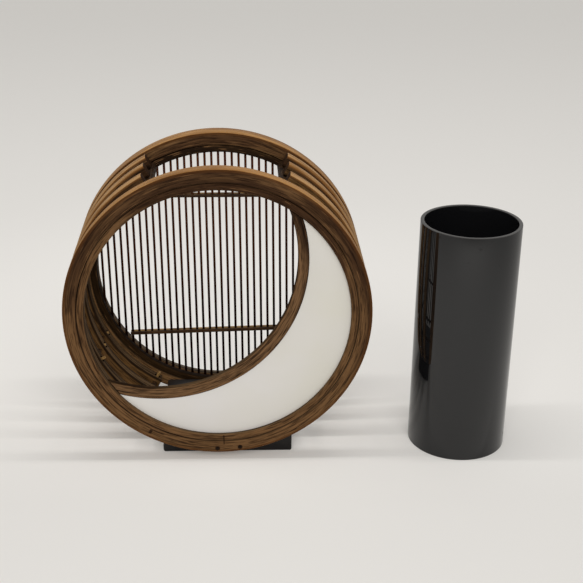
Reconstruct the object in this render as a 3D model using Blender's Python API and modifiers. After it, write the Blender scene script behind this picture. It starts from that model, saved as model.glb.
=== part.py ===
# Ring-shaped bamboo flower vase with a bar screen, a crescent panel and a loose water tube.
#
# Frame: +X to the right, +Y to the back, +Z up, in metres. The origin lies on the underside
# of the base block, under the axis of the rings and half way through the depth of the vase.
# An angle on the rings runs from +X towards +Z, as seen from the front, and is in degrees.

import math

import bmesh
import bpy
from mathutils import Matrix, Vector

# Clearances
SEAT_GAP = 0.0003
CUT_OVERRUN = 0.002
MERGE_DISTANCE = 0.00001

# Rings: each is bent from two strips of bamboo, one inside the other
VASE_DEPTH = 0.1144
RING_RADIUS = 0.1200
RING_CLEARANCE = 0.0062
OUTER_STRIP = 0.0105
INNER_STRIP = 0.0056
FRONT_RING_DEPTH = 0.0113
BACK_RING_DEPTH = 0.0153
RING_CHAMFER = 0.0007
RING_FACETS = 80

# Hoops between the rings: three pairs of open arcs of the same stock as the outer strips
HOOP_WIDTH = 0.0105
HOOP_CROWN = 0.0012
HOOP_CHAMFER = 0.0006
HOOP_FACETS = 26
HOOP_DEPTH_SHARES = (0.304, 0.600, 0.868)
MOUTH_LEFT = 0.0536
MOUTH_RIGHT = 0.0514
HOOP_END_TO_BLOCK = 0.0044

# Bars under the upper ends of the hoops
TOP_BAR_WIDTH = 0.0070
TOP_BAR_OVERHANG = 0.0010
TOP_BAR_EDGE = 0.0006

# Tie dowels through the hoops, and the pegs that pin the hoops on them
DOWEL_RADIUS = 0.0020
DOWEL_SOCKET_DEPTH = 0.0050
LOWER_DOWEL_INSET = 0.0046
SIDE_DOWEL_DROP = 29.0
HOOP_PEG_RADIUS = 0.0013
SIDE_PEG_STANDS = 0.0030
LOWER_PEG_STANDS = 0.0042
PEG_FACETS = 10

# Base block between the rings, and the pegs that hold the rings on it
BLOCK_LEFT = 0.0465
BLOCK_RIGHT = 0.0590
BLOCK_ROUND = 0.0018
RING_PEG_RADIUS = 0.0014
RING_PEG_PLACES = (-0.0018, 0.0164)
RING_PEG_RIM_INSET = 0.0036
RING_PEG_GRIP = 0.0120
RING_PEG_STANDS = 0.0003

# Crescent in the front ring: a curved strip and the panel below it
CRESCENT_WIDTH = 0.0521
CRESCENT_STRIP = 0.0101
PANEL_TIP_ANGLES = (51.5, 220.5)
WINDOW_TIP_ANGLES = (58.7, 211.9)
STRIP_RECESS = 0.0020
STRIP_DEPTH = 0.0045
PANEL_RECESS = 0.0026
PANEL_THICKNESS = 0.0038
CRESCENT_FACETS = 72

# Screen of rods in the back ring, pinched by two pairs of crossbars
BACK_FRONT_STRIP_DEPTH = 0.0060
ROD_RADIUS = 0.0010
ROD_PITCH = 0.0056
ROD_SHIFT = 0.0012
ROD_RIM_CLEARANCE = 0.0090
ROD_FACETS = 8
SIDE_RODS = 4
SCREEN_LEAN = 0.9
CROSSBAR_HEIGHT = 0.0026
CROSSBAR_DEPTH = 0.0020
CROSSBAR_NOTCH = 0.0004
CROSSBAR_RING_CLEARANCE = 0.0074
CROSSBAR_PAST_ROD = 0.0018
UPPER_CROSSBAR_UP = 0.0644
UPPER_CROSSBAR_TILT = -0.6
LOWER_CROSSBAR_DOWN = 0.0594
LOWER_CROSSBAR_TILT = 0.9

# Water tube, standing beside the vase
TUBE_RADIUS = 0.0400
TUBE_WALL = 0.0030
TUBE_HEIGHT = 0.1935
TUBE_RIM_CHAMFER = 0.0005
TUBE_BOTTOM = 0.0030
TUBE_SIDE_SPACE = 0.0389
TUBE_SETBACK = 0.0330
TUBE_FACETS = 56

# Levels and radii that follow from these sizes
AXIS_HEIGHT = RING_CLEARANCE + RING_RADIUS
HOOP_BORE = RING_RADIUS - OUTER_STRIP
INNER_STRIP_OUTSIDE = HOOP_BORE - SEAT_GAP
RING_BORE = INNER_STRIP_OUTSIDE - INNER_STRIP
BLOCK_TOP = AXIS_HEIGHT - RING_BORE - SEAT_GAP
STOCK_MIDDLE = RING_RADIUS - OUTER_STRIP / 2
FRONT_FACE = -VASE_DEPTH / 2
BACK_FACE = VASE_DEPTH / 2
BAY_FRONT = FRONT_FACE + FRONT_RING_DEPTH
BAY_BACK = BACK_FACE - BACK_RING_DEPTH
BAY_DEPTH = BAY_BACK - BAY_FRONT
ROD_SLOT_FRONT = BAY_BACK + BACK_FRONT_STRIP_DEPTH
ROD_PLANE = ROD_SLOT_FRONT + SEAT_GAP + ROD_RADIUS
ROD_SLOT_BACK = ROD_PLANE + ROD_RADIUS + SEAT_GAP
FACET_SHRINK = math.cos(math.pi / RING_FACETS)


def clear_scene():
    for thing in list(bpy.data.objects):
        bpy.data.objects.remove(thing, do_unlink=True)


def new_collection(name):
    collection = bpy.data.collections.new(name)
    bpy.context.scene.collection.children.link(collection)
    return collection


clear_scene()
VASE = new_collection("ring_flower_vase")
CUTTERS = new_collection("cutters")


# Materials

def finish(name, colour, roughness, metallic=0.0):
    material = bpy.data.materials.new(name)
    material.use_nodes = True
    shader = material.node_tree.nodes["Principled BSDF"]
    shader.inputs["Base Color"].default_value = (*colour, 1.0)
    shader.inputs["Roughness"].default_value = roughness
    shader.inputs["Metallic"].default_value = metallic
    return material


def golden_bamboo():
    return finish("golden_bamboo", (0.33, 0.20, 0.10), 0.45)


def dark_bamboo():
    return finish("dark_bamboo", (0.085, 0.052, 0.030), 0.55)


def black_lacquer():
    return finish("black_lacquer", (0.012, 0.010, 0.009), 0.40)


def white_panel():
    return finish("white_panel", (0.62, 0.60, 0.56), 0.65)


def screen_bamboo():
    return finish("screen_bamboo", (0.032, 0.010, 0.006), 0.50)


def pale_peg():
    return finish("pale_peg", (0.30, 0.19, 0.09), 0.55)


def black_acrylic():
    return finish("black_acrylic", (0.008, 0.008, 0.009), 0.10)


# Shared helpers

def on_ring(radius, angle, depth_place):
    turn = math.radians(angle)
    across = radius * math.cos(turn)
    up = AXIS_HEIGHT + radius * math.sin(turn)
    return Vector((across, depth_place, up))


def mesh_object(name, mesh, collection):
    thing = bpy.data.objects.new(name, mesh)
    collection.objects.link(thing)
    return thing


def add_part(name, shape, material):
    bmesh.ops.recalc_face_normals(shape, faces=shape.faces[:])
    mesh = bpy.data.meshes.new(name)
    shape.to_mesh(mesh)
    shape.free()
    part = mesh_object(name, mesh, VASE)
    part.data.materials.append(material)
    shade_round(part)
    return part


def shade_round(part):
    part.data.shade_smooth()
    part.data.set_sharp_from_angle(angle=math.radians(30.0))


def hide_cutter(cutter):
    cutter.hide_render = True
    cutter.display_type = "WIRE"


def add_cutter(name, shape):
    bmesh.ops.recalc_face_normals(shape, faces=shape.faces[:])
    mesh = bpy.data.meshes.new(name)
    shape.to_mesh(mesh)
    shape.free()
    cutter = mesh_object(name, mesh, CUTTERS)
    hide_cutter(cutter)
    return cutter


def boolean(part, cutter, operation="DIFFERENCE"):
    step = part.modifiers.new(cutter.name, "BOOLEAN")
    step.operation = operation
    step.solver = "EXACT"
    step.object = cutter


def cylinder_between(shape, start, end, radius, facets):
    along = end - start
    turned = along.to_track_quat("Z", "Y").to_matrix().to_4x4()
    place = Matrix.Translation((start + end) / 2) @ turned
    bmesh.ops.create_cone(
        shape, cap_ends=True, segments=facets, radius1=radius, radius2=radius,
        depth=along.length, matrix=place)


def box_between(shape, low, high, turn=Matrix.Identity(4)):
    size = high - low
    place = Matrix.Translation((low + high) / 2) @ turn @ Matrix.Diagonal((*size, 1.0))
    bmesh.ops.create_cube(shape, size=1.0, matrix=place)


def turned_part(name, profile, facets, material):
    # A closed profile of (radius, height) corners, turned once round the object's Z axis
    shape = bmesh.new()
    corners = [shape.verts.new((radius, 0, up)) for radius, up in profile]
    for first, second in zip(corners, corners[1:] + corners[:1]):
        shape.edges.new((first, second))
    mesh = bpy.data.meshes.new(name)
    shape.to_mesh(mesh)
    shape.free()
    part = mesh_object(name, mesh, VASE)
    part.data.materials.append(material)
    turned = part.modifiers.new("turned", "SCREW")
    turned.axis = "Z"
    turned.angle = math.radians(360.0)
    turned.steps = facets
    turned.render_steps = facets
    turned.use_merge_vertices = True
    turned.merge_threshold = MERGE_DISTANCE
    turned.use_smooth_shade = True
    return part


def round_edges(part, width, segments):
    step = part.modifiers.new("rounded_edges", "BEVEL")
    step.width = width
    step.segments = segments
    step.limit_method = "ANGLE"


# Rings

def strip_section(inside, outside, depth, chamfer):
    half = depth / 2
    return [
        (outside - chamfer, half), (outside, half - chamfer),
        (outside, chamfer - half), (outside - chamfer, -half),
        (inside + chamfer, -half), (inside, chamfer - half),
        (inside, half - chamfer), (inside + chamfer, half)]


def full_ring(name, inside, outside, front, back, material):
    # The section is drawn at +X with the ring's axis along Z, then the ring is turned upright
    section = strip_section(inside, outside, back - front, RING_CHAMFER)
    ring = turned_part(name, section, RING_FACETS, material)
    ring.location = (0, (front + back) / 2, AXIS_HEIGHT)
    ring.rotation_euler = (math.radians(90.0), 0, 0)
    return ring


def front_ring():
    material = dark_bamboo()
    outer = full_ring("front_ring_outer", HOOP_BORE, RING_RADIUS, FRONT_FACE, BAY_FRONT, material)
    full_ring("front_ring_inner", RING_BORE, INNER_STRIP_OUTSIDE, FRONT_FACE, BAY_FRONT, material)
    return outer


def back_ring():
    material = dark_bamboo()
    outer = full_ring("back_ring_outer", HOOP_BORE, RING_RADIUS, BAY_BACK, BACK_FACE, material)
    full_ring("back_ring_inner_front", RING_BORE, INNER_STRIP_OUTSIDE, BAY_BACK, ROD_SLOT_FRONT,
              material)
    full_ring("back_ring_inner_rear", RING_BORE, INNER_STRIP_OUTSIDE, ROD_SLOT_BACK, BACK_FACE,
              material)
    return outer


# Hoops

def hoop_section():
    # Flat on the inside, crowned like the skin of the cane on the outside
    half = HOOP_WIDTH / 2
    edge = RING_RADIUS - HOOP_CROWN
    return [
        (HOOP_BORE, -half), (HOOP_BORE, half),
        (edge - HOOP_CHAMFER, half), (edge, half - HOOP_CHAMFER),
        (RING_RADIUS, half / 3), (RING_RADIUS, -half / 3),
        (edge, HOOP_CHAMFER - half), (edge - HOOP_CHAMFER, -half)]


def bent_arc(name, section, middle, start, end, facets, material):
    shape = bmesh.new()
    corners = [shape.verts.new(on_ring(radius, start, middle + across))
               for radius, across in section]
    face = shape.faces.new(corners)
    bmesh.ops.spin(
        shape, geom=[face, *face.edges, *face.verts], cent=(0, 0, AXIS_HEIGHT), axis=(0, -1, 0),
        angle=math.radians(end - start), steps=facets)
    return add_part(name, shape, material)


def angle_at(across, radius):
    return math.degrees(math.acos(across / radius))


def hoop_ends(side):
    # Upper and lower end of one side's hoops: the mouth and the block set where they stop
    if side == "left":
        upper = 180.0 - angle_at(MOUTH_LEFT, HOOP_BORE)
        lower = 180.0 + angle_at(BLOCK_LEFT + HOOP_END_TO_BLOCK, HOOP_BORE)
        return upper, lower
    upper = angle_at(MOUTH_RIGHT, HOOP_BORE)
    lower = -angle_at(BLOCK_RIGHT + HOOP_END_TO_BLOCK, HOOP_BORE)
    return upper, lower


def dowel_angles(side):
    inset = math.degrees(LOWER_DOWEL_INSET / STOCK_MIDDLE)
    upper, lower = hoop_ends(side)
    if side == "left":
        return {"lower": lower - inset, "side": 180.0 + SIDE_DOWEL_DROP}
    return {"lower": lower + inset, "side": -SIDE_DOWEL_DROP}


def hoop_places():
    return [BAY_FRONT + share * BAY_DEPTH for share in HOOP_DEPTH_SHARES]


def hoops(side):
    material = golden_bamboo()
    upper, lower = hoop_ends(side)
    made = []
    for number, place in enumerate(hoop_places(), start=1):
        made.append(bent_arc(f"{side}_hoop_{number}", hoop_section(), place, upper, lower,
                             HOOP_FACETS, material))
    return made


def top_bar(side):
    # Its outer face lies just under the bores of the hoops, a little past their ends
    upper, lower = hoop_ends(side)
    reach = HOOP_BORE * math.cos(math.radians(upper - lower) / HOOP_FACETS / 2) - SEAT_GAP
    outside = math.sqrt(reach ** 2 - (TOP_BAR_WIDTH / 2) ** 2)
    step = math.degrees((TOP_BAR_WIDTH / 2 - TOP_BAR_OVERHANG) / HOOP_BORE)
    angle = upper + step if side == "left" else upper - step
    centre = on_ring(outside - INNER_STRIP / 2 + SEAT_GAP / 2, angle, (BAY_FRONT + BAY_BACK) / 2)
    half = Vector((INNER_STRIP - SEAT_GAP, BAY_DEPTH - 2 * SEAT_GAP, TOP_BAR_WIDTH)) / 2
    turn = Matrix.Rotation(math.radians(-angle), 4, "Y")
    shape = bmesh.new()
    box_between(shape, centre - half, centre + half, turn)
    bar = add_part(f"{side}_top_bar", shape, dark_bamboo())
    round_edges(bar, TOP_BAR_EDGE, 1)


# Dowels and pegs

def tie_dowel(side, level, angle):
    shape = bmesh.new()
    reach = DOWEL_SOCKET_DEPTH - SEAT_GAP
    cylinder_between(shape, on_ring(STOCK_MIDDLE, angle, BAY_FRONT - reach),
                     on_ring(STOCK_MIDDLE, angle, BAY_BACK + reach), DOWEL_RADIUS, PEG_FACETS)
    add_part(f"{side}_{level}_dowel", shape, dark_bamboo())


def dowel_bores():
    # One long bore for each dowel: right through the hoops and blind in both rings
    shape = bmesh.new()
    for side in ("left", "right"):
        for angle in dowel_angles(side).values():
            start = on_ring(STOCK_MIDDLE, angle, BAY_FRONT - DOWEL_SOCKET_DEPTH)
            end = on_ring(STOCK_MIDDLE, angle, BAY_BACK + DOWEL_SOCKET_DEPTH)
            cylinder_between(shape, start, end, DOWEL_RADIUS + SEAT_GAP, PEG_FACETS)
    return add_cutter("dowel_bores", shape)


def peg_line(angle, place, stands):
    inner = on_ring(HOOP_BORE - stands, angle, place)
    outer = on_ring(STOCK_MIDDLE - DOWEL_RADIUS - SEAT_GAP, angle, place)
    return inner, outer


def hoop_pegs(side):
    material = pale_peg()
    stands = {"lower": LOWER_PEG_STANDS, "side": SIDE_PEG_STANDS}
    for level, angle in dowel_angles(side).items():
        for number, place in enumerate(hoop_places(), start=1):
            shape = bmesh.new()
            inner, outer = peg_line(angle, place, stands[level])
            cylinder_between(shape, inner, outer, HOOP_PEG_RADIUS, PEG_FACETS)
            add_part(f"{side}_{level}_peg_{number}", shape, material)


def peg_bores():
    # Radial bores from the inner face of each hoop into its dowel bore
    shape = bmesh.new()
    for side in ("left", "right"):
        for angle in dowel_angles(side).values():
            for place in hoop_places():
                inner, outer = peg_line(angle, place, CUT_OVERRUN)
                cylinder_between(shape, inner, outer + (outer - inner).normalized() * SEAT_GAP,
                                 HOOP_PEG_RADIUS + SEAT_GAP, PEG_FACETS)
    return add_cutter("peg_bores", shape)


def ring_peg_spot(across, depth_place):
    radius = RING_RADIUS - RING_PEG_RIM_INSET
    down = math.sqrt(radius ** 2 - across ** 2)
    return Vector((across, depth_place, AXIS_HEIGHT - down))


def ring_peg_ends(face, inward, past_face, past_tip):
    ring_depth = FRONT_RING_DEPTH if inward > 0 else BACK_RING_DEPTH
    head = face - inward * past_face
    tip = face + inward * (ring_depth + RING_PEG_GRIP + past_tip)
    return head, tip


def ring_pegs(side, face, inward):
    material = dark_bamboo()
    head, tip = ring_peg_ends(face, inward, RING_PEG_STANDS, 0)
    for number, across in enumerate(RING_PEG_PLACES, start=1):
        shape = bmesh.new()
        cylinder_between(shape, ring_peg_spot(across, head), ring_peg_spot(across, tip),
                         RING_PEG_RADIUS, PEG_FACETS)
        add_part(f"{side}_ring_peg_{number}", shape, material)


def ring_peg_bores(name, face, inward):
    shape = bmesh.new()
    head, tip = ring_peg_ends(face, inward, CUT_OVERRUN, SEAT_GAP)
    for across in RING_PEG_PLACES:
        cylinder_between(shape, ring_peg_spot(across, head), ring_peg_spot(across, tip),
                         RING_PEG_RADIUS + SEAT_GAP, PEG_FACETS)
    return add_cutter(name, shape)


# Base block

def base_block():
    shape = bmesh.new()
    low = Vector((-BLOCK_LEFT, BAY_FRONT + SEAT_GAP, 0))
    high = Vector((BLOCK_RIGHT, BAY_BACK - SEAT_GAP, BLOCK_TOP))
    box_between(shape, low, high)
    block = add_part("base_block", shape, black_lacquer())
    round_edges(block, BLOCK_ROUND, 2)
    return block


# Crescent

def crescent_circle(bore, width, tip_angles):
    # Circle that meets the bore at both tips and leaves a crescent of this width below it
    middle = math.radians(sum(tip_angles) / 2)
    spread = math.radians(tip_angles[1] - tip_angles[0]) / 2
    offset = width * (2 * bore - width) / (2 * (bore - width + bore * math.cos(spread)))
    centre = Vector((offset * math.cos(middle), offset * math.sin(middle)))
    return centre, bore + offset - width


def upright_disc(shape, centre, radius, front, back, facets):
    start = Vector((centre.x, front, AXIS_HEIGHT + centre.y))
    end = Vector((centre.x, back, AXIS_HEIGHT + centre.y))
    place = Matrix.Translation((start + end) / 2) @ Matrix.Rotation(math.radians(90.0), 4, "X")
    bmesh.ops.create_cone(
        shape, cap_ends=True, segments=facets, radius1=radius, radius2=radius,
        depth=back - front, matrix=place)


def disc_cutter(name, centre, radius):
    shape = bmesh.new()
    upright_disc(shape, centre, radius, FRONT_FACE - CUT_OVERRUN, BAY_FRONT + CUT_OVERRUN,
                 CRESCENT_FACETS)
    return add_cutter(name, shape)


def crescent_parts():
    bore = RING_BORE - SEAT_GAP
    panel_centre, panel_circle = crescent_circle(bore, CRESCENT_WIDTH, PANEL_TIP_ANGLES)
    window_centre, window_circle = crescent_circle(bore, CRESCENT_WIDTH + CRESCENT_STRIP,
                                                   WINDOW_TIP_ANGLES)
    bore_shape = bmesh.new()
    upright_disc(bore_shape, Vector((0, 0)), bore, FRONT_FACE - CUT_OVERRUN,
                 BAY_FRONT + CUT_OVERRUN, RING_FACETS)
    bore_cutter = add_cutter("bore_outline", bore_shape)
    window_cutter = disc_cutter("window_outline", window_centre, window_circle)
    panel_cutter = disc_cutter("panel_edge", panel_centre, panel_circle + SEAT_GAP)

    shape = bmesh.new()
    front = FRONT_FACE + STRIP_RECESS
    upright_disc(shape, panel_centre, panel_circle, front, front + STRIP_DEPTH, CRESCENT_FACETS)
    strip = add_part("crescent_strip", shape, dark_bamboo())
    boolean(strip, bore_cutter, "INTERSECT")
    boolean(strip, window_cutter)

    shape = bmesh.new()
    front = FRONT_FACE + PANEL_RECESS
    upright_disc(shape, Vector((0, 0)), bore, front, front + PANEL_THICKNESS, RING_FACETS)
    panel = add_part("crescent_panel", shape, white_panel())
    boolean(panel, panel_cutter)


# Screen

def turned_on_axis(angle, up):
    # Turn in the plane of the screen about a point this far above the rings' axis
    turn = Matrix.Rotation(math.radians(-angle), 4, "Y")
    centre = Matrix.Translation((0, 0, AXIS_HEIGHT + up))
    return centre @ turn @ centre.inverted()


def lean_screen(shape):
    bmesh.ops.transform(shape, matrix=turned_on_axis(SCREEN_LEAN, 0), verts=shape.verts[:])


def slot_reach():
    return HOOP_BORE * FACET_SHRINK - SEAT_GAP


def rod_places():
    # As many rods as stand clear of the slot's rim on both sides
    reach = slot_reach() - ROD_RIM_CLEARANCE
    most = math.ceil(reach / ROD_PITCH)
    places = [ROD_SHIFT + step * ROD_PITCH for step in range(-most, most + 1)]
    return [across for across in places if abs(across) <= reach]


def carried_by(up):
    # The rods that a crossbar at this level spans; it stops short of the ring and leaves out
    # the outermost rods of the screen
    reach = math.sqrt(RING_BORE ** 2 - up ** 2) - CROSSBAR_RING_CLEARANCE
    inner = rod_places()[SIDE_RODS:-SIDE_RODS]
    return [across for across in inner if abs(across) <= reach]


def rod(shape, across):
    half = math.sqrt(slot_reach() ** 2 - (abs(across) + ROD_RADIUS) ** 2)
    low = Vector((across, ROD_PLANE, AXIS_HEIGHT - half))
    high = Vector((across, ROD_PLANE, AXIS_HEIGHT + half))
    cylinder_between(shape, low, high, ROD_RADIUS, ROD_FACETS)


def crossbar(shape, up, tilt, front):
    carried = carried_by(up)
    level = AXIS_HEIGHT + up
    low = Vector((min(carried) - CROSSBAR_PAST_ROD, front, level - CROSSBAR_HEIGHT / 2))
    high = Vector((max(carried) + CROSSBAR_PAST_ROD, front + CROSSBAR_DEPTH,
                   level + CROSSBAR_HEIGHT / 2))
    turn = Matrix.Rotation(math.radians(-tilt), 4, "Y")
    box_between(shape, low, high, turn)


def crossbar_levels():
    return (("upper", UPPER_CROSSBAR_UP, UPPER_CROSSBAR_TILT),
            ("lower", -LOWER_CROSSBAR_DOWN, LOWER_CROSSBAR_TILT))


def rod_screen():
    # Rods glued into the notches of two front crossbars
    carried = set()
    bars = bmesh.new()
    front = ROD_PLANE - ROD_RADIUS + CROSSBAR_NOTCH - CROSSBAR_DEPTH
    for _, up, tilt in crossbar_levels():
        carried.update(carried_by(up))
        crossbar(bars, up, tilt, front)
    lean_screen(bars)
    rods = bmesh.new()
    for across in sorted(carried):
        rod(rods, across)
    lean_screen(rods)
    screen = add_part("rod_screen", rods, screen_bamboo())
    boolean(screen, add_cutter("front_crossbars", bars), "UNION")
    return carried


def side_rods(carried):
    # The short rods at each side pass no crossbar and stand in the ring's slot alone
    material = screen_bamboo()
    alone = [across for across in rod_places() if across not in carried]
    for number, across in enumerate(alone, start=1):
        shape = bmesh.new()
        rod(shape, across)
        lean_screen(shape)
        add_part(f"side_rod_{number}", shape, material)


def rear_crossbars():
    material = dark_bamboo()
    for level, up, tilt in crossbar_levels():
        shape = bmesh.new()
        crossbar(shape, up, tilt, ROD_PLANE + ROD_RADIUS + SEAT_GAP)
        lean_screen(shape)
        add_part(f"{level}_rear_crossbar", shape, material)


# Water tube

def tube_place():
    return (RING_RADIUS + TUBE_SIDE_SPACE + TUBE_RADIUS, FRONT_FACE + TUBE_SETBACK, 0)


def water_tube():
    outside = TUBE_RADIUS
    inside = TUBE_RADIUS - TUBE_WALL
    top = TUBE_HEIGHT
    rim = TUBE_RIM_CHAMFER
    profile = [
        (outside - rim, top), (outside, top - rim), (outside, rim), (outside - rim, 0),
        (inside + rim, 0), (inside, rim), (inside, top - rim), (inside + rim, top)]
    tube = turned_part("water_tube", profile, TUBE_FACETS, black_acrylic())
    tube.location = tube_place()


def water_tube_bottom():
    radius = TUBE_RADIUS - TUBE_WALL - SEAT_GAP / math.cos(math.pi / TUBE_FACETS)
    shape = bmesh.new()
    cylinder_between(shape, Vector((0, 0, 0)), Vector((0, 0, TUBE_BOTTOM)), radius, TUBE_FACETS)
    bottom = add_part("water_tube_bottom", shape, black_acrylic())
    bottom.location = tube_place()


def build():
    rings = [front_ring(), back_ring()]
    bent = hoops("left") + hoops("right")
    bores = dowel_bores()
    for part in rings + bent:
        boolean(part, bores)
    radial_bores = peg_bores()
    for part in bent:
        boolean(part, radial_bores)
    for side in ("left", "right"):
        top_bar(side)
        hoop_pegs(side)
        for level, angle in dowel_angles(side).items():
            tie_dowel(side, level, angle)
    block = base_block()
    faces = (("front", FRONT_FACE, 1), ("back", BACK_FACE, -1))
    for ring, (side, face, inward) in zip(rings, faces):
        bore = ring_peg_bores(f"{side}_ring_peg_bores", face, inward)
        boolean(ring, bore)
        boolean(block, bore)
        ring_pegs(side, face, inward)
    crescent_parts()
    side_rods(rod_screen())
    rear_crossbars()
    water_tube()
    water_tube_bottom()


build()
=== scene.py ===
# Ring-shaped bamboo flower vase, with its water tube beside it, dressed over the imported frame.
#
# Frame: +X to the right, +Y to the back, +Z up, in metres. An angle on the rings runs from +X
# towards +Z, as seen from the front, and is in degrees.

import math

import bmesh
import bpy
from bpy.props import FloatProperty, FloatVectorProperty, IntProperty, PointerProperty
from bpy.types import Operator, Panel, PropertyGroup
from mathutils import Matrix, Vector


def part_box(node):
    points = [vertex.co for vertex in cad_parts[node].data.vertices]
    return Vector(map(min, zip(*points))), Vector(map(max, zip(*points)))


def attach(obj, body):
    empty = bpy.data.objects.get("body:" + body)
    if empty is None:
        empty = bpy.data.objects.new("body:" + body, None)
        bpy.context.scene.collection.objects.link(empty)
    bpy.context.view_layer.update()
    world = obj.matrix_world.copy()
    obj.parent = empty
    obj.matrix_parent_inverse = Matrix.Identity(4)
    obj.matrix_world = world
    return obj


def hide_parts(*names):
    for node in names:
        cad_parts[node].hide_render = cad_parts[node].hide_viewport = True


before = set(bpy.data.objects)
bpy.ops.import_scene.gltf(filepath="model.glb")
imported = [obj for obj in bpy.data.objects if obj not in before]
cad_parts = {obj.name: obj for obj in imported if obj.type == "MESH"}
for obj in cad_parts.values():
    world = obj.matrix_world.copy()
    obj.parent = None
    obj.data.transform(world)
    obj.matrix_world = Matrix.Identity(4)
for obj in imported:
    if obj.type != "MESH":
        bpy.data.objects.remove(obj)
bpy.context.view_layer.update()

bl_info = {
    "name": "Ring Flower Vase",
    "version": (1, 0, 0),
    "blender": (4, 5, 0),
    "location": "View3D > Sidebar > Vase",
    "description": "Bamboo ring vase with a rod screen, a crescent panel and a water tube",
    "category": "Add Mesh",
}

MERGE_DISTANCE = 0.00001
SEAT_GAP = 0.0003
SIDES = ("left", "right")
HOOPS = (1, 2, 3)

# Rounding of edges, and the angle from which an edge is shaded sharp
HOOP_EDGE = 0.0006
CRESCENT_EDGE = 0.0009
SMALL_EDGE = 0.0003
FINE_EDGE = 0.0002
SHARP_ANGLE = 35.0

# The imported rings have 80 flats, whose middles lie a little inside the round rings
FLAT_SHARE = math.cos(math.pi / 80)

# Places that follow from the frame
OUTER_LOW, OUTER_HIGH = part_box("front_ring_outer")
BACK_LOW, BACK_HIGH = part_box("back_ring_outer")
BLOCK_LOW, BLOCK_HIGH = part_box("base_block")
TUBE_LOW, TUBE_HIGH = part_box("water_tube")
AXIS_HEIGHT = (OUTER_LOW.z + OUTER_HIGH.z) / 2
FRONT_FACE, BAY_FRONT = OUTER_LOW.y, OUTER_HIGH.y
BAY_BACK, BACK_FACE = BACK_LOW.y, BACK_HIGH.y
SLOT_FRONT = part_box("back_ring_inner_front")[1].y
SLOT_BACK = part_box("back_ring_inner_rear")[0].y
TUBE_CENTRE = (TUBE_LOW + TUBE_HIGH) / 2


def tone(red, green, blue):
    """Linear colour of a screen colour."""
    return tuple(
        part / 12.92 if part <= 0.04045 else ((part + 0.055) / 1.055) ** 2.4
        for part in (red / 255, green / 255, blue / 255))


def length(name, description, default):
    return FloatProperty(name=name, description=description, default=default, min=0.0,
                         precision=4, unit="LENGTH")


def angle(name, description, degrees):
    return FloatProperty(name=name, description=description, default=math.radians(degrees),
                         unit="ROTATION")


def count(name, description, default):
    return IntProperty(name=name, description=description, default=default, min=3)


def colour(name, description, *screen):
    return FloatVectorProperty(name=name, description=description, default=tone(*screen),
                               min=0.0, max=1.0, size=3, subtype="COLOR")


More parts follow.
